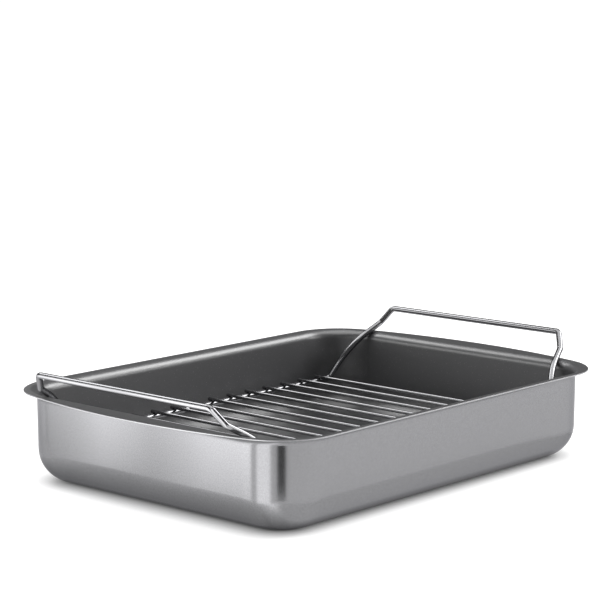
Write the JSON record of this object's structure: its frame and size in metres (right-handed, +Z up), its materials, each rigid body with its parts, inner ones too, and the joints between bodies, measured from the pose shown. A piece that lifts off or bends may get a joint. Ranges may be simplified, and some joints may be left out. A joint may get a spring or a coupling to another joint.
{
  "type": "roasting pan with rack",
  "caption": "Deep rectangular roasting pan with a flat bowed rim, and a lift-out wire rack whose ends turn up into handles that hang on the rim.",
  "frame": {"origin": "middle of the base, on the surface that the pan stands on", "axes": "+X along the pan towards its rear handle, +Y across it to its left side, +Z up"},
  "size_m": [0.4132, 0.2948, 0.0935],
  "materials": {
    "brushed_stainless": "fine satin brushed stainless steel",
    "nonstick_coating": "dark grey satin non-stick coating, on the inside of the pan and the top of its rim",
    "bright_wire": "bright polished steel wire"
  },
  "bodies": {
    "pan": {"pan_body": "brushed_stainless"},
    "rack": {"handle_front": "bright_wire", "handle_rear": "bright_wire", "rail_left": "bright_wire", "rail_right": "bright_wire", "cross_wire_01": "bright_wire", "cross_wire_02": "bright_wire", "cross_wire_03": "bright_wire", "cross_wire_04": "bright_wire", "cross_wire_05": "bright_wire", "cross_wire_06": "bright_wire", "cross_wire_07": "bright_wire", "cross_wire_08": "bright_wire", "cross_wire_09": "bright_wire", "cross_wire_10": "bright_wire", "cross_wire_11": "bright_wire", "cross_wire_12": "bright_wire", "cross_wire_13": "bright_wire", "cross_wire_14": "bright_wire"}
  },
  "joints": [
    {"name": "rack_lift", "type": "slide", "parent": "pan", "child": "rack", "axis": [0, 0, 1], "range_m": [0, 0.12]}
  ]
}
